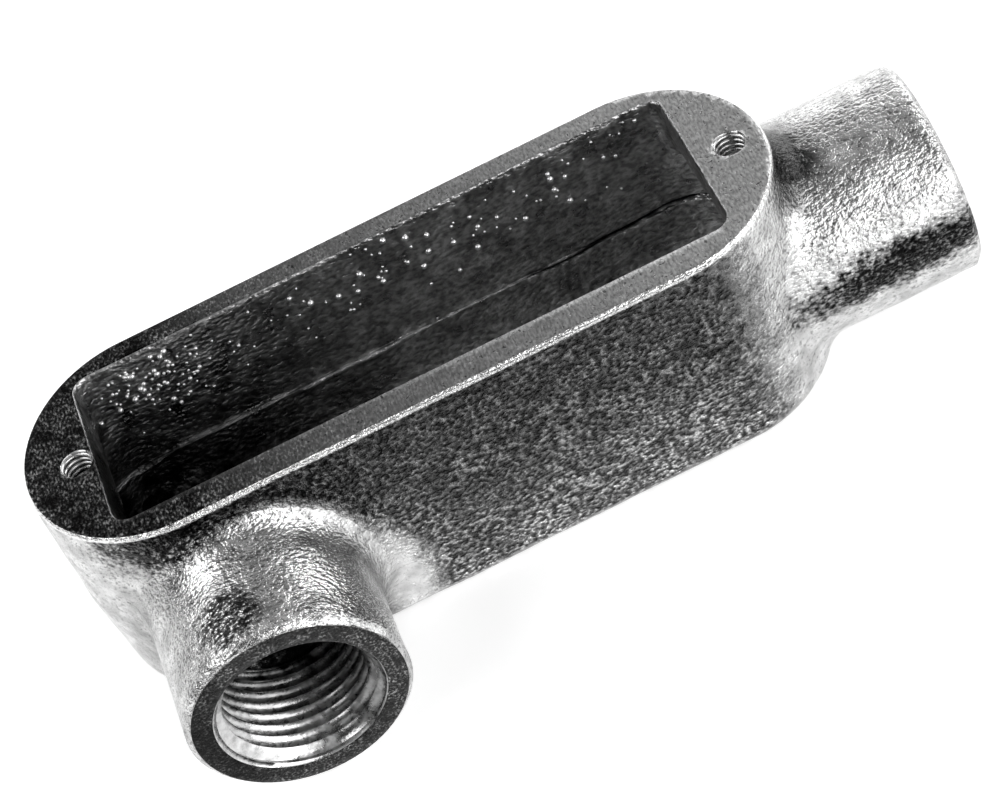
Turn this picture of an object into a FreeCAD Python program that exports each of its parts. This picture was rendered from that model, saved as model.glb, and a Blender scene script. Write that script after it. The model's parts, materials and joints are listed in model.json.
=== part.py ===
import FreeCAD, Part
import math
import os

# A cast iron conduit body of the LL pattern for half-inch rigid conduit, in millimetres.
# The body, its two hubs and its two cover-screw lugs are one casting, so there is one solid.
# Origin: on the flat back, under the middle of the cover rim. +Z is out of the cover opening,
# +X is along the body towards the end hub, and the side hub points along -Y.

Vec = FreeCAD.Vector

# --- driving dimensions: threaded hubs ---
THREAD_BORE_RADIUS = 9.0        # crest of the pipe thread, which the tap leaves
THREAD_BORE_LENGTH = 15.5       # from the hub face to the end of the thread
MOUTH_FLARE = 1.6               # how much wider than the thread crest the mouth opens
MOUTH_DEPTH = 2.0               # length of the flared mouth
RELIEF_CLEARANCE = 1.4          # the cast passage behind the thread is wider by this
HUB_RING_WIDTH = 3.35           # mouth to the hub's round side
SIDE_HUB_LENGTH = 17.6          # rim edge to the side hub's face
END_HUB_LENGTH = 18.6           # rim end to the end hub's face
SIDE_HUB_MARGIN = 5.65          # rim end to the near side of the side hub
HUB_EDGE_BEVEL = 0.7            # broken outer edge of the hub face
HUB_ROOT_RADIUS = 4.0           # hollow blend between a hub and the body

# --- driving dimensions: the body's shell ---
RIM_LENGTH = 99.0
BODY_SHOULDER = 2.55            # the rim stands out past the end hub by this on each side
RIM_ABOVE_HUB = 4.6             # hub top to the machined rim
HUB_ABOVE_BACK = 0.5            # hub underside to the back
DRAFT_ANGLE = 2.4               # degrees; the walls lean away from the mould joint
BACK_EDGE_RADIUS = 2.5
RIM_EDGE_BEVEL = 0.3            # left by machining the rim flat

# --- driving dimensions: the wiring chamber ---
SIDE_WALL = 4.0                 # mean width of the rim band along each side
CORE_SHIFT = 0.5                # the sand core sat this far towards +Y
LUG_REACH = 9.3                 # rim end to the end of the cover opening
LUG_THICKNESS = 9.0
OPENING_CORNER_RADIUS = 2.0
OPENING_EDGE_BEVEL = 0.3
CHAMBER_END_WALL = 3.0          # wall beyond the chamber, under the lugs
CHAMBER_END_FLAT = 5.0          # straight part of the chamber's end, between its round corners
FLOOR_THICKNESS = 3.2
FLOOR_EDGE_RADIUS = 7.0
FLOOR_EDGE_FLATS = 3            # the round floor edge is made of this many flats
CORE_STEP = 0.35                # ledge where the two halves of the core met

# --- driving dimensions: cover screws ---
SCREW_HOLE_RADIUS = 1.75        # crest of the tapped thread
SCREW_SETBACK = 5.65            # mean distance from the rim end to a screw's axis
SCREW_SHIFT = 1.25              # both screws sit this far towards the end hub

# --- sizes that follow ---
MOUTH_RADIUS = THREAD_BORE_RADIUS + MOUTH_FLARE
RELIEF_RADIUS = THREAD_BORE_RADIUS + RELIEF_CLEARANCE
HUB_RADIUS = MOUTH_RADIUS + HUB_RING_WIDTH
JOINT_HEIGHT = HUB_ABOVE_BACK + HUB_RADIUS
BODY_DEPTH = JOINT_HEIGHT + HUB_RADIUS + RIM_ABOVE_HUB
RIM_HALF_LENGTH = RIM_LENGTH / 2
RIM_HALF_WIDTH = HUB_RADIUS + BODY_SHOULDER
SIDE_HUB_X = SIDE_HUB_MARGIN + HUB_RADIUS - RIM_HALF_LENGTH
SIDE_HUB_REACH = RIM_HALF_WIDTH + SIDE_HUB_LENGTH
END_HUB_REACH = RIM_HALF_LENGTH + END_HUB_LENGTH
OPENING_HALF_LENGTH = RIM_HALF_LENGTH - LUG_REACH
OPENING_HALF_WIDTH = RIM_HALF_WIDTH - SIDE_WALL
CHAMBER_HALF_LENGTH = RIM_HALF_LENGTH - CHAMBER_END_WALL
CHAMBER_CORNER_RADIUS = OPENING_HALF_WIDTH - CHAMBER_END_FLAT / 2
SCREW_HALF_SPACING = RIM_HALF_LENGTH - SCREW_SETBACK

SIDE_HUB_OUT = Vec(0, -1, 0)
SIDE_HUB_FACE = Vec(SIDE_HUB_X, -SIDE_HUB_REACH, JOINT_HEIGHT)
END_HUB_OUT = Vec(1, 0, 0)
END_HUB_FACE = Vec(END_HUB_REACH, 0, JOINT_HEIGHT)

CUT_MARGIN = 2.0                # how far a cutter runs past the face it opens
ON_SURFACE = 0.001              # a point this close to a surface lies on it


def leaning(height):
    """How much wider than at the rim the drafted walls are at a height."""
    below_rim = BODY_DEPTH - max(height, JOINT_HEIGHT)
    below_joint = max(0.0, JOINT_HEIGHT - height)
    return math.tan(math.radians(DRAFT_ANGLE)) * (below_rim - below_joint)


def rounded_plan(half_length, half_width, corner_radius, height, offset_y=0.0):
    """A rounded rectangle at one height, or a full-round slot where the radius is half the width."""
    corner_x = half_length - corner_radius
    corner_y = half_width - corner_radius
    quarter = math.pi / 2
    arcs = []
    for turn, (side_x, side_y) in enumerate([(1, 1), (-1, 1), (-1, -1), (1, -1)]):
        centre = Vec(side_x * corner_x, side_y * corner_y + offset_y, height)
        circle = Part.Circle(centre, Vec(0, 0, 1), corner_radius)
        arcs.append(Part.ArcOfCircle(circle, turn * quarter, (turn + 1) * quarter))
    edges = []
    for arc, following in zip(arcs, arcs[1:] + arcs[:1]):
        edges.append(arc.toShape())
        if arc.EndPoint.distanceToPoint(following.StartPoint) > ON_SURFACE:
            edges.append(Part.LineSegment(arc.EndPoint, following.StartPoint).toShape())
    return Part.Wire(edges)


def drafted_body(half_length, half_width, corner_radius, levels, offset_y=0.0):
    """A solid through rounded plans, each at a height, that all lean with the draft and are inset."""
    plans = []
    for height, inset in levels:
        grow = leaning(height) - inset
        plans.append(rounded_plan(half_length + grow, half_width + grow, corner_radius + grow,
                                  height, offset_y))
    solid, ruled = True, True
    return Part.makeLoft(plans, solid, ruled)


def floor_edge_levels():
    """Heights and insets of the chamber's plans up its round floor edge."""
    levels = []
    for step in range(FLOOR_EDGE_FLATS + 1):
        turn = math.pi / 2 * step / FLOOR_EDGE_FLATS
        height = FLOOR_THICKNESS + FLOOR_EDGE_RADIUS * (1 - math.cos(turn))
        levels.append((height, FLOOR_EDGE_RADIUS * (1 - math.sin(turn))))
    return levels


def edges_at_height(shape, height):
    """Edges that lie wholly in one level plane."""
    found = []
    for edge in shape.Edges:
        box = edge.BoundBox
        if abs(box.ZMin - height) < ON_SURFACE and abs(box.ZMax - height) < ON_SURFACE:
            found.append(edge)
    return found


def hub_cylinder(face_centre, outward, length):
    """The outside of a hub, with its face edge broken, reaching length inwards from its face."""
    cylinder = Part.makeCylinder(HUB_RADIUS, length, face_centre, outward * -1)
    face_edge = [edge for edge in cylinder.Edges
                 if edge.Closed and edge.CenterOfMass.distanceToPoint(face_centre) < ON_SURFACE]
    return cylinder.makeChamfer(HUB_EDGE_BEVEL, face_edge)


def hub_root_edges(shape, face_centre, outward):
    """Edges where a hub's round side meets the body."""
    found = []
    for edge in shape.Edges:
        points = edge.discretize(9)
        depths = [(face_centre - point).dot(outward) for point in points]
        off_side = [abs(point.distanceToLine(face_centre, outward) - HUB_RADIUS) for point in points]
        is_seam = edge.Curve.TypeId == "Part::GeomLine"
        clear_of_face = min(depths) > HUB_EDGE_BEVEL + ON_SURFACE
        if max(off_side) < ON_SURFACE and clear_of_face and not is_seam:
            found.append(edge)
    return found


def casting_outside():
    """The solid outside of the casting: body and hubs, with their blends and rounded edges."""
    body = drafted_body(RIM_HALF_LENGTH, RIM_HALF_WIDTH, RIM_HALF_WIDTH,
                        [(0.0, 0.0), (JOINT_HEIGHT, 0.0), (BODY_DEPTH, 0.0)])
    body = body.makeFillet(BACK_EDGE_RADIUS, edges_at_height(body, 0.0))
    body = body.makeChamfer(RIM_EDGE_BEVEL, edges_at_height(body, BODY_DEPTH))
    side = hub_cylinder(SIDE_HUB_FACE, SIDE_HUB_OUT, SIDE_HUB_REACH)
    end = hub_cylinder(END_HUB_FACE, END_HUB_OUT, END_HUB_LENGTH + RIM_HALF_WIDTH)
    outside = body.fuse([side, end]).removeSplitter()
    root_radius = min(HUB_ROOT_RADIUS, RIM_ABOVE_HUB - RIM_EDGE_BEVEL)
    for face_centre, outward in [(SIDE_HUB_FACE, SIDE_HUB_OUT), (END_HUB_FACE, END_HUB_OUT)]:
        outside = outside.makeFillet(root_radius, hub_root_edges(outside, face_centre, outward))
    return outside


def wiring_core():
    """The space inside: the cover opening, and the longer chamber that runs under both lugs."""
    lug_underside = BODY_DEPTH - LUG_THICKNESS
    opening = drafted_body(OPENING_HALF_LENGTH, OPENING_HALF_WIDTH, OPENING_CORNER_RADIUS,
                           [(lug_underside, 0.0), (BODY_DEPTH + CUT_MARGIN, 0.0)], CORE_SHIFT)
    upper = drafted_body(CHAMBER_HALF_LENGTH, OPENING_HALF_WIDTH, CHAMBER_CORNER_RADIUS,
                         [(JOINT_HEIGHT, 0.0), (lug_underside, 0.0)], CORE_SHIFT)
    lower = drafted_body(CHAMBER_HALF_LENGTH - CORE_STEP, OPENING_HALF_WIDTH - CORE_STEP,
                         CHAMBER_CORNER_RADIUS - CORE_STEP,
                         floor_edge_levels() + [(JOINT_HEIGHT, 0.0)], CORE_SHIFT)
    return opening.fuse([upper, lower])


def hub_bore(face_centre, outward, reach):
    """Flared mouth, thread bore and the wider cast passage that runs on into the chamber."""
    inward = outward * -1
    mouth = Part.makeCone(MOUTH_RADIUS, THREAD_BORE_RADIUS, MOUTH_DEPTH, face_centre, inward)
    thread = Part.makeCylinder(THREAD_BORE_RADIUS, THREAD_BORE_LENGTH, face_centre, inward)
    passage = Part.makeCylinder(RELIEF_RADIUS, reach - THREAD_BORE_LENGTH,
                                face_centre + inward * THREAD_BORE_LENGTH, inward)
    return mouth.fuse([thread, passage])


def screw_hole(side):
    """One tapped hole down through a lug into the chamber."""
    top = Vec(SCREW_SHIFT + side * SCREW_HALF_SPACING, 0, BODY_DEPTH + CUT_MARGIN)
    return Part.makeCylinder(SCREW_HOLE_RADIUS, LUG_THICKNESS + 2 * CUT_MARGIN, top, Vec(0, 0, -1))


def opening_edges(casting):
    """Edges of the cover opening in the machined rim."""
    found = []
    for edge in edges_at_height(casting, BODY_DEPTH):
        middle = edge.CenterOfMass
        within_length = abs(middle.x) < OPENING_HALF_LENGTH + ON_SURFACE
        within_width = abs(middle.y - CORE_SHIFT) < OPENING_HALF_WIDTH + ON_SURFACE
        if within_length and within_width:
            found.append(edge)
    return found


def body_casting():
    """The whole casting."""
    side_bore = hub_bore(SIDE_HUB_FACE, SIDE_HUB_OUT, SIDE_HUB_REACH - OPENING_HALF_WIDTH / 2)
    end_bore = hub_bore(END_HUB_FACE, END_HUB_OUT,
                        END_HUB_REACH - CHAMBER_HALF_LENGTH + CHAMBER_CORNER_RADIUS)
    screw_holes = [screw_hole(side) for side in (-1, 1)]
    hollow = wiring_core().fuse([side_bore, end_bore] + screw_holes)
    casting = casting_outside().cut(hollow).removeSplitter()
    return casting.makeChamfer(OPENING_EDGE_BEVEL, opening_edges(casting)).Solids[0]


os.makedirs("parts", exist_ok=True)
body_casting().exportStep("parts/body_casting.step")
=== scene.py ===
import json
import math
import random

import bmesh
import bpy
import numpy as np
from mathutils import Euler, Matrix, Vector, noise


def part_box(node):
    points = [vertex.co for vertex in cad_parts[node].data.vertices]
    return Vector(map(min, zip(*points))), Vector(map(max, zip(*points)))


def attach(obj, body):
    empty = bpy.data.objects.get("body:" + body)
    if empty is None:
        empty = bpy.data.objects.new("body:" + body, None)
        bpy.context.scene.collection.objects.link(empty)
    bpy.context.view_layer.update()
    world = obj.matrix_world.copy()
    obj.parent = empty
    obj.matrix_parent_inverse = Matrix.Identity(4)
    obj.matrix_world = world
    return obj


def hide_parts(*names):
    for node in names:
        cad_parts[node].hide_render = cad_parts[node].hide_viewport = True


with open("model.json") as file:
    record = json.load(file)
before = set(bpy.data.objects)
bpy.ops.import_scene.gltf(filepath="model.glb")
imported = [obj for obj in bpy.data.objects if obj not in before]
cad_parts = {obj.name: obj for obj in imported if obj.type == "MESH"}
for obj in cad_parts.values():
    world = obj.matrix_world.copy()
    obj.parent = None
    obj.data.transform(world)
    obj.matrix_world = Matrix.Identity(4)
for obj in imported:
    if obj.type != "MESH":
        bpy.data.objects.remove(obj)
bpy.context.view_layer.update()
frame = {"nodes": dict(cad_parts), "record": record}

# A zinc-plated cast iron conduit body. The casting's form comes from the frame. This script cuts
# its threads, makes its skin as uneven as sand casting leaves it, and finishes and lights it; the
# finish has light and shade painted into its colour in places. Lengths are in metres.

MM = 0.001
NODE = "body_casting"
BODY = "root"
LOW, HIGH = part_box(NODE)
MOUNTS = {mount["name"]: mount for mount in frame["record"]["mounts"]}

# --- hubs: each face is where the line of its mount leaves the CAD box ---
SIDE_MOUNT = Vector(MOUNTS["side_hub"]["pos_m"])
SIDE_FACE = Vector((SIDE_MOUNT.x, LOW.y, SIDE_MOUNT.z))
SIDE_OUT = Vector((0, -1, 0))
END_MOUNT = Vector(MOUNTS["end_hub"]["pos_m"])
END_FACE = Vector((HIGH.x, END_MOUNT.y, END_MOUNT.z))
END_OUT = Vector((1, 0, 0))
HUBS = [(SIDE_FACE, SIDE_OUT), (END_FACE, END_OUT)]
JOINT_HEIGHT = SIDE_MOUNT.z
CREST_RADIUS = MOUNTS["side_hub"]["dims"]["r_mm"] * MM
BORE_DEPTH = 15.5 * MM          # hub face to the end of the thread
MOUTH_RADIUS = 10.6 * MM
MOUTH_DEPTH = 2.0 * MM
SHAVING = 0.03 * MM             # the taps cut this much off the CAD bores
PIPE_PITCH = 25.4 * MM / 14
PIPE_ROOT_RADIUS = 10.5 * MM    # at the hub face
PIPE_TAPER = 1 / 32             # on the radius
PIPE_FLAT = 0.12 * MM
PIPE_STEPS = 96                 # around one turn

# --- cover screws ---
SCREW_MOUNT = MOUNTS["cover_screws"]
SCREW_MIDDLE = Vector(SCREW_MOUNT["pos_m"])
SCREW_SPACING = SCREW_MOUNT["dims"]["spacing_x_mm"] * MM
SCREW_CREST_RADIUS = SCREW_MOUNT["dims"]["hole_r_mm"] * MM
SCREW_PITCH = 25.4 * MM / 32
SCREW_ROOT_RADIUS = 2.085 * MM
SCREW_FLAT = 0.04 * MM
SCREW_MOUTH_DEPTH = 0.4 * MM
SCREW_STEPS = 48
LUG_THICKNESS = 9.0 * MM
UP = Vector((0, 0, 1))
SCREWS = [SCREW_MIDDLE + Vector((side * SCREW_SPACING / 2, 0, 0)) for side in (-1, 1)]

PIPE_TAP = dict(pitch=PIPE_PITCH, flat=PIPE_FLAT, root=PIPE_ROOT_RADIUS, crest=CREST_RADIUS,
                taper=PIPE_TAPER, mouth=MOUTH_RADIUS, mouth_depth=MOUTH_DEPTH)
SCREW_TAP = dict(pitch=SCREW_PITCH, flat=SCREW_FLAT, root=SCREW_ROOT_RADIUS,
                 crest=SCREW_CREST_RADIUS, taper=0.0, mouth=SCREW_ROOT_RADIUS,
                 mouth_depth=SCREW_MOUTH_DEPTH)
FLANK_ANGLE = math.radians(30)
FLANK_PARTS = [0.0, 0.5, 1.0]
ROOM_FOR_FLANK = 0.96           # share of a pitch that the root flat and both flanks may take up
TAP_LEAD = 1.5                  # turns that a tap starts outside its face

# --- the chamber and the rim, seen from above: a straight spine with round ends ---
RIM_HALF_LENGTH = 49.5 * MM
SPINE_HALF = RIM_HALF_LENGTH - HIGH.y
CHAMBER_REACH = HIGH.y - 1.5 * MM

# --- mesh density and unevenness of the cast skin ---
CELL = 1.25 * MM
MERGE = 0.0001 * MM
FLAT_WITHIN = math.radians(0.02)
ON_FACE = 0.005 * MM            # a point this close to a machined face lies on it
HUB_EDGE = 0.7 * MM             # broken edge of a hub's face
SKIN_BLEND = 0.6 * MM           # the cast skin's unevenness fades out over this near a cut
SKIN_START = 0.05               # share of that blend which stays as even as the cut
RELAX_PASSES = 8
RELAX_SHARE = 0.5
SWELLS = [(9.0 * MM, 0.10 * MM), (3.5 * MM, 0.05 * MM)]    # wavelength and height
SHARP_FROM = math.radians(32)   # edges that turn by more than this stay sharp

# --- the core's joint, a fin or a crack along the chamber's wall ---
SEAM_WIDTH = 0.28 * MM
SEAM_WAVES = [(0.30 * MM, 5.0 * MM), (0.14 * MM, 1.9 * MM)]  # how far it strays and over what length
SEAM_GRAIN = 2.2 * MM           # length over which its height changes
SEAM_CUTS = [-0.8, -0.55, -0.35, -0.18, 0, 0.18, 0.35, 0.55, 0.8]   # mm about the joint
NEAR_JOINT = 1.0 * MM
KEPT_NEAR_JOINT = 0.9           # share of the relaxing that is left out there
FIN_HEIGHT = 0.35 * MM
# The fin's line gets a painted highlight, full from here on towards the side hub's end and fading out
# again between the next two places.
FIN_HIGHLIGHT_FULL = -18 * MM
FIN_HIGHLIGHT_FADES = (-32 * MM, -25 * MM)
CRACK_FROM = 14 * MM
CRACK_DEPTH = 0.45 * MM
CRACK_BLEND = 4 * MM
# The crack's line is painted near black, as shade in the crack, over this length from where the crack
# starts.
CRACK_SHADE_LENGTH = 5 * MM

# --- drops of zinc left standing on the chamber's far wall ---
BEAD_TRIES = 180
BEAD_SEED = 7
BEAD_RADII = (0.18 * MM, 0.50 * MM)
BEAD_SMALLNESS = 2.5            # the higher, the more of them are small
BEAD_SINK = 0.2                 # depth of a drop's middle in the wall, as a share of its radius
BEAD_PLACES = [(-31, 5), (-31, 5), (-2, 9), (20, 12)]     # middle and spread along X, mm
BEAD_DROP = (5, 3)              # middle and spread below the highest row, mm
BEAD_CLEARANCE = 1              # mm that they stay below the rim

# --- finishes, in the order of the casting's materials ---
CAST, CHAMBER, RIM, FACED, THREAD, BEAD = range(6)
EVEN = (1, 1, 1)                # grains as long in each direction
FACED_UNSHADED = 0.05              # share of a hub's face left without painted shade
SHADED_WALL_FROM = (15.4 * MM, 14.4 * MM)      # the flat walls with painted shade lie further out along Y than this
LIP_HIGHLIGHT = (0.65 * MM, 0.45 * MM)            # below the rim, its painted highlight line fades out between these
LIP_WANDER = 0.4 * MM                   # and this much further down in places

# painted shade in patches: share of the brightness left there, middle and reach in millimetres
SHADE_LOW_END = (0.004, (-42, 5, 1), (34, 25, 22))         # painted shade, black in the low end of the chamber
SHADE_SIDE_BORE = (0.004, (-29, -14, 9), (15, 12.5, 13))     # painted shade, black in the side hub's bore
SHADE_UNDER_OPENING_END = (0.12, (-40.5, -3, 29), (3, 9, 8))            # painted shade under the opening's end by the side hub
# painted shade on the thread in the side hub's bore
SHADE_ON_THREAD = (0.22, (-20, -27, 9), (7, 8, 10))
SHADE_ON_HUB_FACE = (0.35, (-41, -34, 14), (6, 5, 14))         # painted shade on the side hub's face
SHADE_IN_NECK = (0.08, (50.5, -2, 30), (4, 9, 6))             # painted shade in the hollow between the rim and the end hub
SHADE_ALONG_END_HUB = (0.03, (59, -13, 15.4), (17, 4, 3.6))         # painted shade in a band along the end hub
SHADE_SPOT_ON_SIDE_HUB = (0.16, (-32, -29, 27.5), (4.5, 4, 4.5))       # painted shade in a spot on the side hub
# painted shade on the wall under the rim, by the side hub
SHADE_UNDER_RIM = (0.08, (-37, -15.5, 31), (12, 4.5, 4))

# painted highlights: middle and reach in millimetres
PAINTED_HIGHLIGHTS = [((-21.0, -25.8, 25), (3.6, 4, 3.6)),
               ((-33.5, -20.5, 28), (2.6, 2.2, 3)),
               ((-13.7, -17.2, 8), (3.5, 2.5, 9))]
GLARE_BESIDE_SIDE_HUB = ((-13.5, -17, 7), (4, 4, 9))                   # painted highlight on the wall beside the side hub

# --- floor, lights and camera ---
FLOOR_GLOW = 0.60
FLOOR_GREY = 0.70
FLOOR_SIZE = 40
LIGHT_DISTANCE = 0.7
SOFT_BOXES = [                  # name, azimuth from +Y towards +X, elevation, size, radiance
    ("front_right", 142, 24, (0.85, 0.50), 3.0),
    ("left", -80, 50, (1.1, 0.26), 3.4),
    ("backdrop", 28, 6, (0.95, 0.36), 2.4),
    ("back_right", 62, 33, (0.22, 0.20), 7.0),
]
STUDIO_AXIS = (0.50, 0.70, 0.50)        # from the dark side of the room to the light side
STUDIO_WALLS = [(0.15, 0.02), (0.5, 0.18), (1.0, 0.42)]     # place along that axis, and grey
CAMERA_LENS = 101.8
CAMERA_PLACE = (0.0093, -0.2463, 0.2691)
CAMERA_AZIMUTH = math.radians(0.7)
CAMERA_ELEVATION = math.radians(46.5)
CAMERA_ROLL = math.radians(-26.65)


# ------------------------------------------------------------------ threads

def thread_profile(along, tap):
    """Offsets along one pitch and their radii: a crest flat, a flank, a root flat and a flank."""
    half = tap["pitch"] / 2
    flat = tap["flat"] / 2
    slope = math.tan(FLANK_ANGLE)
    root = tap["root"] - tap["taper"] * along
    crest = max(tap["crest"] + SHAVING, root - (half * ROOM_FOR_FLANK - flat) / slope)
    foot = flat + (root - crest) * slope
    rising = [(-foot + (foot - flat) * part, crest + (root - crest) * part) for part in FLANK_PARTS]
    falling = [(-offset, radius) for offset, radius in reversed(rising)]
    return [(-half, crest)] + rising + falling


def flared(along, radius, tap):
    """A radius, or the mouth's cone where that is wider."""
    narrowing = (tap["mouth"] - tap["crest"]) * along / tap["mouth_depth"]
    return max(radius, tap["mouth"] + SHAVING - narrowing)


def tap_surface(bm, face, outward, first, last, steps, tap):
    """Adds a closed cutter: a right-hand helical thread from first to last below a face."""
    across = outward.orthogonal().normalized()
    beside = across.cross(outward)
    rings = math.ceil((last - first) / tap["pitch"]) * steps
    half = tap["pitch"] / 2

    def vertex(ring, offset, radius):
        angle = 2 * math.pi * ring / steps
        spoke = across * math.cos(angle) + beside * math.sin(angle)
        along = first + ring / steps * tap["pitch"] + offset
        return bm.verts.new(face - outward * along + spoke * flared(along, radius, tap))

    rows = []
    for ring in range(rings + 1):
        profile = thread_profile(first + ring / steps * tap["pitch"], tap)
        rows.append([vertex(ring, offset, radius) for offset, radius in profile])
    for ring in range(rings + 1):
        if ring + steps <= rings:
            rows[ring].append(rows[ring + steps][0])
        else:
            crest = thread_profile(first + ring / steps * tap["pitch"], tap)[0][1]
            rows[ring].append(vertex(ring, half, crest))
    for here, there in zip(rows, rows[1:]):
        for point in range(len(here) - 1):
            bm.faces.new((here[point], there[point], there[point + 1], here[point + 1]))
    close_tap(bm, face - outward * first, [row[0] for row in rows[:steps + 1]], rows[0])
    close_tap(bm, face - outward * last, [row[-1] for row in rows[rings - steps:]], rows[rings])


def close_tap(bm, middle, turn, step):
    """Closes one end of a tap: a fan over its last turn, and the step that the helix leaves."""
    hub = bm.verts.new(middle)
    for near, far in zip(turn, turn[1:]):
        bm.faces.new((hub, near, far))
    bm.faces.new([hub] + step)


def taps():
    """The cutters for both pipe threads and both cover screws, as one object."""
    bm = bmesh.new()
    for face, outward in HUBS:
        tap_surface(bm, face, outward, -TAP_LEAD * PIPE_PITCH, BORE_DEPTH + PIPE_PITCH,
                    PIPE_STEPS, PIPE_TAP)
    for top in SCREWS:
        tap_surface(bm, top, UP, -TAP_LEAD * SCREW_PITCH, LUG_THICKNESS + 2 * SCREW_PITCH,
                    SCREW_STEPS, SCREW_TAP)
    bmesh.ops.recalc_face_normals(bm, faces=bm.faces)
    mesh = bpy.data.meshes.new("taps")
    bm.to_mesh(mesh)
    bm.free()
    cutter = bpy.data.objects.new("taps", mesh)
    bpy.context.scene.collection.objects.link(cutter)
    return cutter


# ------------------------------------------------------------------ the cast skin

def divided_casting():
    """The CAD casting as one welded solid, divided along planes a cell apart."""
    bm = bmesh.new()
    bm.from_mesh(frame["nodes"][NODE].data)
    bmesh.ops.remove_doubles(bm, verts=bm.verts, dist=MERGE)
    bmesh.ops.dissolve_limit(bm, angle_limit=FLAT_WITHIN, verts=bm.verts, edges=bm.edges)
    for axis in range(3):
        count = math.ceil((HIGH[axis] - LOW[axis]) / CELL)
        normal = Vector([float(axis == other) for other in range(3)])
        places = [LOW[axis] + (HIGH[axis] - LOW[axis]) * cut / count for cut in range(1, count)]
        if axis == 2:
            places += [JOINT_HEIGHT + step * MM for step in SEAM_CUTS]
        for level in places:
            place = normal * level
            everything = bm.verts[:] + bm.edges[:] + bm.faces[:]
            bmesh.ops.bisect_plane(bm, geom=everything, dist=MERGE, plane_co=place, plane_no=normal)
    bmesh.ops.triangulate(bm, faces=bm.faces[:], ngon_method="EAR_CLIP")
    mesh = bpy.data.meshes.new("casting")
    bm.to_mesh(mesh)
    bm.free()
    return mesh


def depth_and_radius(points, face, outward):
    """Each point's depth below a hub's face, and its distance from the hub's axis."""
    offset = points - np.array(face)
    depth = -offset @ np.array(outward)
    radius = np.linalg.norm(offset + depth[:, None] * np.array(outward), axis=1)
    return depth, radius


def castness(points):
    """1 on the skin left by the mould, falling to 0 on faces and bores cut by machine."""
    away = HIGH.z - points[:, 2]
    for face, outward in HUBS:
        depth, radius = depth_and_radius(points, face, outward)
        away = np.minimum(away, depth - HUB_EDGE)
        away = np.minimum(away, np.maximum(radius - MOUTH_RADIUS, depth - BORE_DEPTH))
    for top in SCREWS:
        depth, radius = depth_and_radius(points, top, UP)
        away = np.minimum(away, np.maximum(radius - SCREW_ROOT_RADIUS, depth - LUG_THICKNESS))
    return np.clip(away / SKIN_BLEND - SKIN_START, 0.0, 1.0)


def relax(points, edges, share):
    """Rounds the cast skin a little, as a mould does, and leaves machined faces as they are."""
    count = np.bincount(edges.ravel(), minlength=len(points))
    for _ in range(RELAX_PASSES):
        total = np.zeros_like(points)
        for axis in range(3):
            total[:, axis] += np.bincount(edges[:, 0], points[edges[:, 1], axis], len(points))
            total[:, axis] += np.bincount(edges[:, 1], points[edges[:, 0], axis], len(points))
        mean = total / count[:, None]
        points = points + (mean - points) * share[:, None]
    return points


def swell(points, normals, share):
    """Raises and lowers the skin in long shallow waves."""
    height = np.zeros(len(points))
    for wavelength, size in SWELLS:
        height += [size * noise.noise(Vector(point) / wavelength) for point in points]
    return points + normals * (height * share)[:, None]


def read(layer, name, width, kind=np.float64):
    """One value of every vertex, edge or face, as rows of the given width."""
    values = np.empty(len(layer) * width, kind)
    layer.foreach_get(name, values)
    return values.reshape(-1, width)


def inside(points):
    """1 on the walls of the wiring chamber, 0 on the outside of the casting."""
    spine = np.clip(points[:, 0], -SPINE_HALF, SPINE_HALF)
    reach = np.hypot(points[:, 0] - spine, points[:, 1])
    return (reach < CHAMBER_REACH).astype(float)


def seam(points):
    """Height of the ragged fin, or depth of the cold crack, that the core's joint left inside."""
    stray = sum(size * np.sin(points[:, 0] / length) for size, length in SEAM_WAVES)
    across = np.exp(-((points[:, 2] - JOINT_HEIGHT - stray) / SEAM_WIDTH) ** 2)
    ragged = [0.6 + noise.noise(Vector((x / SEAM_GRAIN, 0.3, 9.1))) for x in points[:, 0]]
    to_crack = np.clip((points[:, 0] - CRACK_FROM) / CRACK_BLEND, 0, 1)
    height = FIN_HEIGHT * (1 - to_crack) - CRACK_DEPTH * to_crack
    return inside(points) * across * ragged * height


def shape_skin(mesh):
    """Moves the divided casting's points to where sand casting leaves the skin."""
    points = read(mesh.vertices, "co", 3)
    edges = read(mesh.edges, "vertices", 2, np.int32)
    share = castness(points)
    near_joint = inside(points) * (np.abs(points[:, 2] - JOINT_HEIGHT) < NEAR_JOINT)
    points = relax(points, edges, share * RELAX_SHARE * (1 - KEPT_NEAR_JOINT * near_joint))
    mesh.vertices.foreach_set("co", points.ravel())
    mesh.update()
    normals = read(mesh.vertices, "normal", 3)
    points = swell(points, normals, share) + normals * (seam(points) * share)[:, None]
    points = np.clip(points, np.array(LOW), np.array(HIGH))
    mesh.vertices.foreach_set("co", points.ravel())
    mesh.update()


def casting():
    """The finished casting: divided, made uneven, and tapped."""
    mesh = divided_casting()
    shape_skin(mesh)
    piece = bpy.data.objects.new("casting", mesh)
    bpy.context.scene.collection.objects.link(piece)
    cutter = taps()
    tapping = piece.modifiers.new("tapping", "BOOLEAN")
    tapping.operation = "DIFFERENCE"
    tapping.solver = "EXACT"
    tapping.object = cutter
    depsgraph = bpy.context.evaluated_depsgraph_get()
    tapped = bpy.data.meshes.new_from_object(piece.evaluated_get(depsgraph))
    piece.modifiers.clear()
    piece.data = tapped
    bpy.data.objects.remove(cutter)
    return piece


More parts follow.
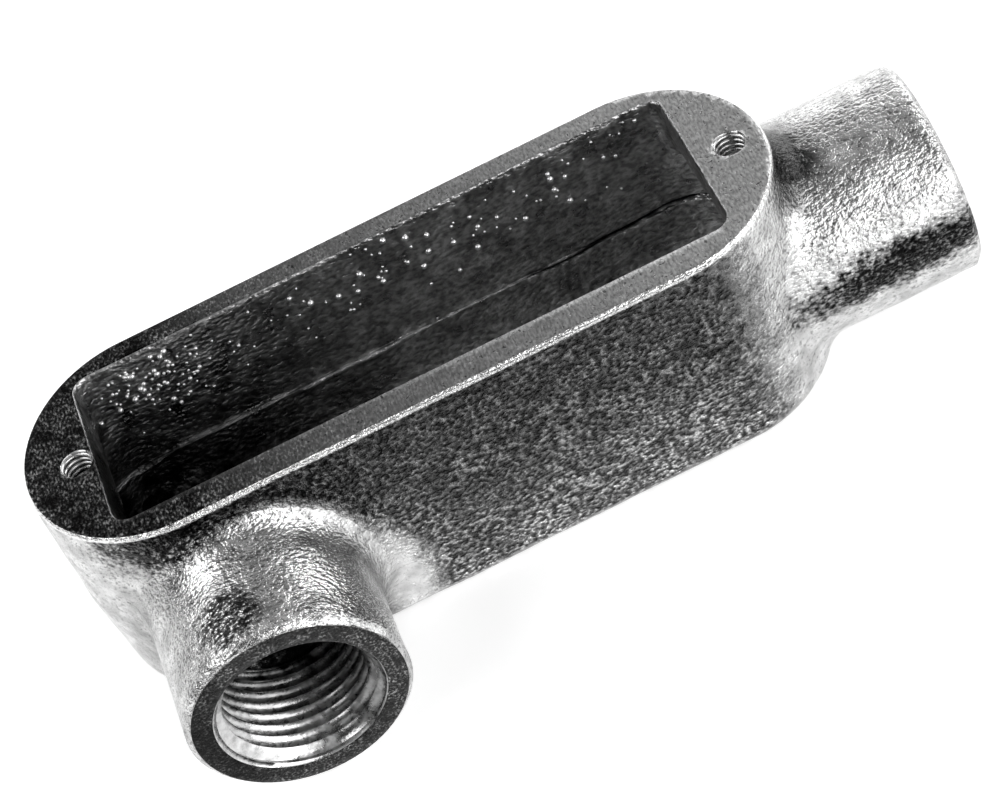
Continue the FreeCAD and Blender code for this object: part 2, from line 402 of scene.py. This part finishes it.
def add_beads(piece):
    """Sinks round drops of zinc in the far wall of the chamber, most of them near the side hub."""
    chance = random.Random(BEAD_SEED)
    smallest, largest = BEAD_RADII
    drops = bmesh.new()
    for _ in range(BEAD_TRIES):
        middle, spread = chance.choice(BEAD_PLACES)
        below_rim = (BEAD_CLEARANCE + abs(chance.gauss(*BEAD_DROP))) * MM
        start = Vector((chance.gauss(middle, spread) * MM, 0, HIGH.z - below_rim))
        found, place, normal, _ = piece.ray_cast(start, Vector((0, 1, 0)))
        radius = smallest + (largest - smallest) * chance.random() ** BEAD_SMALLNESS
        if found and inside(np.array([place]))[0] and place.z < HIGH.z - BEAD_CLEARANCE * MM:
            seat = Matrix.Translation(place - normal * radius * BEAD_SINK)
            bmesh.ops.create_icosphere(drops, subdivisions=2, radius=radius, matrix=seat)
    for face in drops.faces:
        face.material_index = BEAD
        face.smooth = True
    beads = bpy.data.meshes.new("beads")
    drops.to_mesh(beads)
    drops.free()
    bm = bmesh.new()
    bm.from_mesh(piece.data)
    bm.from_mesh(beads)
    bm.to_mesh(piece.data)
    bm.free()


# ------------------------------------------------------------------ materials

def node(tree, kind, **inputs):
    """A shader node with some of its inputs set. A name's spaces are written as underscores."""
    made = tree.nodes.new(kind)
    for name, value in inputs.items():
        made.inputs[name.replace("_", " ")].default_value = value
    return made


def ramp(tree, source, stops):
    """A colour ramp of greys over a value, given as (position, grey) stops."""
    made = tree.nodes.new("ShaderNodeValToRGB")
    elements = made.color_ramp.elements
    while len(elements) < len(stops):
        elements.new(0.5)
    for element, (position, level) in zip(elements, stops):
        element.position = position
        element.color = (level, level, level, 1)
    tree.links.new(source, made.inputs["Fac"])
    return made.outputs["Color"]


def math_node(tree, operation, first, second=0.0):
    """The result of one Math node. Each input is a number or another node's output."""
    made = tree.nodes.new("ShaderNodeMath")
    made.operation = operation
    for place, value in enumerate((first, second)):
        if isinstance(value, (int, float)):
            made.inputs[place].default_value = value
        else:
            tree.links.new(value, made.inputs[place])
    return made.outputs[0]


def times(tree, first, second):
    return math_node(tree, "MULTIPLY", first, second)


def grains(tree, place, size, stretch, detail, rough=0.5):
    """Noise of one grain size, longer along the directions where stretch is above 1."""
    scale = tree.nodes.new("ShaderNodeMapping")
    scale.inputs["Scale"].default_value = [1 / (size * part) for part in stretch]
    tree.links.new(place.outputs["Object"], scale.inputs["Vector"])
    made = node(tree, "ShaderNodeTexNoise", Scale=1.0, Detail=detail, Roughness=rough)
    tree.links.new(scale.outputs[0], made.inputs["Vector"])
    return made.outputs["Fac"]


def zinc_material(name):
    """A metallic material, its node tree, its shader and its coordinates."""
    material = bpy.data.materials.new(name)
    material.use_nodes = True
    tree = material.node_tree
    shader = tree.nodes["Principled BSDF"]
    shader.inputs["Metallic"].default_value = 1.0
    place = tree.nodes.new("ShaderNodeTexCoord")
    return material, tree, shader, place


def bumped(tree, shader, layers):
    """Bump from several (height output, distance) layers, one on another."""
    normal = None
    for height, distance in layers:
        bump = node(tree, "ShaderNodeBump", Strength=1.0, Distance=distance)
        tree.links.new(height, bump.inputs["Height"])
        if normal:
            tree.links.new(normal, bump.inputs["Normal"])
        normal = bump.outputs[0]
    tree.links.new(normal, shader.inputs["Normal"])


def part_of(tree, place, kind, axis):
    """One coordinate of the position ("Object") or of the face's direction ("Normal")."""
    split = tree.nodes.new("ShaderNodeSeparateXYZ")
    tree.links.new(place.outputs[kind], split.inputs[0])
    return split.outputs[axis]


def span(tree, value, first, last):
    """A value's share of the way from first to last, from 0 to 1."""
    made = node(tree, "ShaderNodeMapRange", From_Min=first, From_Max=last)
    tree.links.new(value, made.inputs["Value"])
    return made.outputs[0]


def between(tree, share, low, high):
    """Low where share is 0 and high where it is 1."""
    from_low = times(tree, low, math_node(tree, "SUBTRACT", 1.0, share))
    return math_node(tree, "ADD", from_low, times(tree, high, share))


def away_from(tree, place, middle, reach, torn=False):
    """0 in a ragged patch about a point, 1 well away from it. A torn patch has a frayed edge."""
    local = tree.nodes.new("ShaderNodeMapping")
    local.inputs["Location"].default_value = [-at / far for at, far in zip(middle, reach)]
    local.inputs["Scale"].default_value = [1 / (far * MM) for far in reach]
    tree.links.new(place.outputs["Object"], local.inputs["Vector"])
    away = tree.nodes.new("ShaderNodeVectorMath")
    away.operation = "LENGTH"
    tree.links.new(local.outputs[0], away.inputs[0])
    ragged = math_node(tree, "ADD", away.outputs["Value"], grains(tree, place, 2.5 * MM, EVEN, 4.0))
    if not torn:
        return span(tree, ragged, 1.0, 1.9)
    frayed = times(tree, grains(tree, place, 0.55 * MM, (1.4, 1, 1), 3.0, 0.6), 1.5)
    return span(tree, math_node(tree, "ADD", ragged, frayed), 1.95, 2.45)


def with_painted_shade(tree, place, tone, patch, torn=False):
    """A tone made darker in a ragged patch about a point, as painted shade. A torn patch is flecked too.
    """
    left, middle, reach = patch
    away = away_from(tree, place, middle, reach, torn)
    if torn:
        flecks = grains(tree, place, 0.45 * MM, (1.4, 1, 1), 2.0, 0.6)
        left = times(tree, left, ramp(tree, flecks, [(0.45, 0.2), (0.55, 1.5), (0.66, 9.0)]))
    return times(tree, tone, between(tree, away, left, 1.0))


def seam_line(tree, place):
    """1 on the line of the core's joint, 0 away from it, and the position along X."""
    along = part_of(tree, place, "Object", "X")
    height = math_node(tree, "SUBTRACT", part_of(tree, place, "Object", "Z"), JOINT_HEIGHT)
    for size, length in SEAM_WAVES:
        wave = math_node(tree, "SINE", math_node(tree, "DIVIDE", along, length))
        height = math_node(tree, "SUBTRACT", height, times(tree, wave, size))
    away = math_node(tree, "ABSOLUTE", height)
    return span(tree, away, 0.45 * MM, 0.12 * MM), along


def chamber_zinc():
    """The inside of the casting, where the plate is thin and rough, with painted shade: black in the low
    end, in the side hub's bore and under the opening's end, and near black along the crack; the fin has
    a painted highlight.
    """
    material, tree, shader, place = zinc_material("zinc_chamber")
    mottle = grains(tree, place, 3.0 * MM, EVEN, 3.0)
    peel = grains(tree, place, 0.6 * MM, (1.5, 1, 1), 2.0, 0.45)
    # A mottled tone, darker in the valleys of the peel as painted shade.
    tone = times(tree, ramp(tree, mottle, [(0.3, 0.28), (0.7, 0.60)]),
                 ramp(tree, peel, [(0.35, 0.5), (0.65, 1.2)]))
    line, along = seam_line(tree, place)
    # Painted shade, near black, along the crack.
    crack = times(tree, line, span(tree, along, CRACK_FROM, CRACK_FROM + CRACK_SHADE_LENGTH))
    # A painted highlight along the fin, strongest in its middle stretch.
    fin = times(tree, line, span(tree, along, CRACK_FROM, FIN_HIGHLIGHT_FULL))
    fin = times(tree, fin, span(tree, along, *FIN_HIGHLIGHT_FADES))
    tone = between(tree, fin, between(tree, crack, tone, 0.01), 0.8)
    # Painted shade: black in the low end, in the side hub's bore and under the opening's end.
    for dark in (SHADE_LOW_END, SHADE_SIDE_BORE, SHADE_UNDER_OPENING_END):
        tone = with_painted_shade(tree, place, tone, dark)
    tree.links.new(tone, shader.inputs["Base Color"])
    tree.links.new(ramp(tree, mottle, [(0.3, 0.25), (0.7, 0.42)]), shader.inputs["Roughness"])
    bumped(tree, shader, [(peel, 0.28 * MM)])
    return material


def bead_zinc():
    """Drops of bright zinc."""
    material, _, shader, _ = zinc_material("zinc_bead")
    shader.inputs["Base Color"].default_value = (0.95, 0.95, 0.95, 1)
    shader.inputs["Roughness"].default_value = 0.4
    return material


def roundness_and_glare(tree, place):
    """0 on the flat walls, which get painted shade, and 1 on the rounds, on the hubs and beside the side
    hub, where a painted highlight lies.
    """
    sideways = math_node(tree, "ABSOLUTE", part_of(tree, place, "Normal", "Y"))
    ragged = times(tree, grains(tree, place, 1.0 * MM, EVEN, 4.0, 0.6), 0.12)
    turned = math_node(tree, "SUBTRACT", math_node(tree, "ADD", sideways, ragged), 0.07)
    curved_and_glare = ramp(tree, turned, [(0.85, 1.0), (0.985, 0.0)])
    # A painted highlight beside the side hub: the wall there takes the rounds' brighter tone.
    painted_glare = math_node(tree, "SUBTRACT", 1.0, away_from(tree, place, *GLARE_BESIDE_SIDE_HUB))
    curved_and_glare = math_node(tree, "MAXIMUM", curved_and_glare, painted_glare)
    beside = math_node(tree, "ABSOLUTE", part_of(tree, place, "Object", "Y"))
    return math_node(tree, "MAXIMUM", curved_and_glare, span(tree, beside, *SHADED_WALL_FROM))


def cast_zinc():
    """Zinc over cast skin, crinkled, with painted shade that darkens its flat walls and brighter rounds
    and hubs; painted highlights and painted shade in patches, and a painted highlight below the rim.
    """
    material, tree, shader, place = zinc_material("zinc_cast")
    mottle = grains(tree, place, 3.0 * MM, EVEN, 3.0)
    peel = grains(tree, place, 0.48 * MM, (1.4, 1, 1), 2.0, 0.5)
    fine = grains(tree, place, 0.2 * MM, EVEN, 2.0)
    curved_and_glare = roundness_and_glare(tree, place)
    bright = ramp(tree, mottle, [(0.35, 0.42), (0.65, 0.76)])
    # Darker in the valleys of the peel, as painted shade.
    bright = times(tree, bright, ramp(tree, peel, [(0.34, 0.5), (0.42, 1.0)]))
    level = part_of(tree, place, "Object", "Z")
    # Painted shade on the flat walls: a far darker tone, darker towards the top, with painted light on
    # the crests of the peel and painted shade in its valleys.
    shaded_wall = ramp(tree, span(tree, level, LOW.z, HIGH.z), [(0.0, 0.22), (0.5, 0.09), (1.0, 0.03)])
    shaded_wall = times(tree, shaded_wall, ramp(tree, peel, [(0.40, 0.06), (0.52, 0.8), (0.66, 3.2)]))
    shaded_wall = times(tree, shaded_wall, ramp(tree, mottle, [(0.35, 0.55), (0.65, 1.5)]))
    tone = between(tree, curved_and_glare, shaded_wall, bright)
    # Painted highlights: the tone turns white in torn patches on and beside the side hub.
    for middle, reach in PAINTED_HIGHLIGHTS:
        tone = between(tree, away_from(tree, place, middle, reach, torn=True), 1.0, tone)
    # Painted shade in patches: at the neck and in the side hub's bore, and flecked along the end hub, on
    # the side hub and under the rim.
    for dark in (SHADE_IN_NECK, SHADE_SIDE_BORE):
        tone = with_painted_shade(tree, place, tone, dark)
    for dark in (SHADE_ALONG_END_HUB, SHADE_SPOT_ON_SIDE_HUB, SHADE_UNDER_RIM):
        tone = with_painted_shade(tree, place, tone, dark, torn=True)
    # A painted highlight in a wandering line just below the rim's outer edge.
    wandering = math_node(tree, "ADD", level, times(tree, fine, LIP_WANDER))
    lip_highlight = span(tree, wandering, *[HIGH.z - depth for depth in LIP_HIGHLIGHT])
    tone = between(tree, lip_highlight, tone, 0.8)
    tree.links.new(tone, shader.inputs["Base Color"])
    tree.links.new(ramp(tree, mottle, [(0.3, 0.12), (0.7, 0.26)]), shader.inputs["Roughness"])
    relief = times(tree, peel, between(tree, curved_and_glare, 6.5, 1.4))
    bumped(tree, shader, [(relief, 0.20 * MM), (fine, 0.05 * MM)])
    return material


def ground_zinc(name, unshaded_share):
    """A face ground flat, with open specks, dark speckled painted shade where the second argument is 0
    and scratched metal where it is 1; the pits are darker, as painted shade.
    """
    material, tree, shader, place = zinc_material(name)
    unshaded = unshaded_share(tree, place)
    scratches = grains(tree, place, 0.30 * MM, (1, 2.5, 1), 3.0)
    speckle = grains(tree, place, 0.32 * MM, (1, 1.8, 1), 3.0, 0.6)
    blotches = grains(tree, place, 2.5 * MM, EVEN, 4.0, 0.6)
    pits = ramp(tree, grains(tree, place, 0.45 * MM, EVEN, 2.0), [(0.32, 0.25), (0.37, 1.0)])
    # Dark speckled painted shade.
    speckled_shade = ramp(tree, speckle, [(0.42, 0.001), (0.54, 0.03), (0.68, 0.22)])
    speckled_shade = times(tree, speckled_shade, ramp(tree, blotches, [(0.38, 0.2), (0.62, 1.8)]))
    tone = between(tree, unshaded, speckled_shade, ramp(tree, scratches, [(0.34, 0.26), (0.66, 0.56)]))
    # Painted shade in a patch on the side hub's face.
    tone = with_painted_shade(tree, place, tone, SHADE_ON_HUB_FACE)
    # The pits are darker too, as painted shade in them.
    tree.links.new(times(tree, tone, pits), shader.inputs["Base Color"])
    tree.links.new(ramp(tree, blotches, [(0.3, 0.34), (0.7, 0.50)]), shader.inputs["Roughness"])
    bumped(tree, shader, [(blotches, 0.05 * MM), (scratches, 0.06 * MM), (pits, 0.06 * MM)])
    return material


def rim_zinc():
    """The rim, with painted shade that deepens towards the side hub's end."""
    def unshaded_share(tree, place):
        along = span(tree, part_of(tree, place, "Object", "X"), LOW.x, RIM_HALF_LENGTH)
        return ramp(tree, along, [(0.2, 0.0), (0.5, 0.45), (0.85, 1.0)])
    return ground_zinc("zinc_rim", unshaded_share)


def thread_zinc():
    """Cut threads, brighter than the rest, with painted shade deep in the side hub's bore."""
    material, tree, shader, place = zinc_material("zinc_thread")
    blotches = grains(tree, place, 1.2 * MM, EVEN, 4.0, 0.6)
    tone = ramp(tree, blotches, [(0.3, 0.38), (0.7, 0.80)])
    # Painted shade deep in the side hub's bore.
    for dark in (SHADE_SIDE_BORE, SHADE_ON_THREAD):
        tone = with_painted_shade(tree, place, tone, dark)
    tree.links.new(tone, shader.inputs["Base Color"])
    tree.links.new(ramp(tree, blotches, [(0.3, 0.18), (0.7, 0.40)]), shader.inputs["Roughness"])
    bumped(tree, shader, [(blotches, 0.08 * MM)])
    return material


def finish_casting(piece):
    """Gives each face the finish of how it was made."""
    mesh = piece.data
    mesh.materials.clear()
    # The hub faces are nearly all dark speckled painted shade.
    faced = ground_zinc("zinc_faced", lambda tree, place: FACED_UNSHADED)
    for material in (cast_zinc(), chamber_zinc(), rim_zinc(), faced, thread_zinc(), bead_zinc()):
        mesh.materials.append(material)
    centres = read(mesh.polygons, "center", 3)
    kind = np.where(inside(centres) > 0, CHAMBER, CAST)
    kind[centres[:, 2] > HIGH.z - ON_FACE] = RIM
    for face, outward in HUBS:
        depth, radius = depth_and_radius(centres, face, outward)
        in_bore = (radius < MOUTH_RADIUS + 2 * SHAVING) & (depth < BORE_DEPTH)
        kind[in_bore & (depth > ON_FACE)] = THREAD
        kind[depth < ON_FACE] = FACED
    for top in SCREWS:
        depth, radius = depth_and_radius(centres, top, UP)
        in_hole = (radius < SCREW_ROOT_RADIUS + 2 * SHAVING) & (depth < LUG_THICKNESS)
        kind[in_hole & (depth > ON_FACE)] = THREAD
    mesh.polygons.foreach_set("material_index", kind.astype(np.int32))
    mesh.polygons.foreach_set("use_smooth", np.ones(len(mesh.polygons), bool))
    mesh.set_sharp_from_angle(angle=SHARP_FROM)


# ------------------------------------------------------------------ scene

def floor():
    """A plain white floor that shows white and keeps the object's shadow."""
    bpy.ops.mesh.primitive_plane_add(size=FLOOR_SIZE, location=(0, 0, LOW.z))
    piece = bpy.context.object
    piece.name = "floor"
    material = bpy.data.materials.new("floor")
    material.use_nodes = True
    tree = material.node_tree
    shader = tree.nodes["Principled BSDF"]
    shader.inputs["Base Color"].default_value = (FLOOR_GREY, FLOOR_GREY, FLOOR_GREY, 1)
    shader.inputs["Roughness"].default_value = 0.9
    shader.inputs["Emission Color"].default_value = (1, 1, 1, 1)
    rays = tree.nodes.new("ShaderNodeLightPath")
    seen = math_node(tree, "MAXIMUM", rays.outputs["Is Camera Ray"], rays.outputs["Is Glossy Ray"])
    seen = math_node(tree, "MAXIMUM", seen, rays.outputs["Is Transmission Ray"])
    tree.links.new(times(tree, seen, FLOOR_GLOW), shader.inputs["Emission Strength"])
    piece.data.materials.append(material)


def area_light(name, azimuth, elevation, size, radiance):
    """A soft box that faces the object. Its power follows from its area and radiance."""
    light = bpy.data.lights.new(name, "AREA")
    light.shape = "RECTANGLE"
    light.size, light.size_y = size
    light.energy = math.pi * size[0] * size[1] * radiance
    turn, rise = math.radians(azimuth), math.radians(elevation)
    toward = Vector((math.sin(turn) * math.cos(rise), math.cos(turn) * math.cos(rise), math.sin(rise)))
    lamp = bpy.data.objects.new(name, light)
    lamp.location = toward * LIGHT_DISTANCE
    lamp.rotation_euler = (-toward).to_track_quat("-Z", "Y").to_euler()
    bpy.context.scene.collection.objects.link(lamp)


def lights():
    """Soft boxes to the right, left and behind, in a studio that is darker towards its front."""
    for box in SOFT_BOXES:
        area_light(*box)
    world = bpy.data.worlds.new("studio")
    world.use_nodes = True
    tree = world.node_tree
    place = tree.nodes.new("ShaderNodeTexCoord")
    along = tree.nodes.new("ShaderNodeVectorMath")
    along.operation = "DOT_PRODUCT"
    along.inputs[1].default_value = Vector(STUDIO_AXIS).normalized()
    tree.links.new(place.outputs["Generated"], along.inputs[0])
    share = node(tree, "ShaderNodeMapRange", From_Min=-1.0)
    tree.links.new(along.outputs["Value"], share.inputs["Value"])
    level = ramp(tree, share.outputs[0], STUDIO_WALLS)
    tree.links.new(level, tree.nodes["Background"].inputs["Color"])
    bpy.context.scene.world = world


def camera():
    """A long lens, looking down at the side hub, rolled so that the body climbs to the right."""
    lens = bpy.data.cameras.new("camera")
    lens.sensor_width = 36
    lens.lens = CAMERA_LENS
    eye = bpy.data.objects.new("camera", lens)
    turn = Euler((0, 0, CAMERA_AZIMUTH)).to_matrix()
    tilt = Euler((math.pi / 2 - CAMERA_ELEVATION, 0, 0)).to_matrix()
    roll = Euler((0, 0, CAMERA_ROLL)).to_matrix()
    eye.rotation_euler = (turn @ tilt @ roll).to_euler()
    eye.location = CAMERA_PLACE
    bpy.context.scene.collection.objects.link(eye)
    bpy.context.scene.camera = eye


piece = casting()
finish_casting(piece)
add_beads(piece)
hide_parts(NODE)
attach(piece, BODY)
floor()
lights()
camera()
bpy.context.scene.view_settings.view_transform = "Standard"
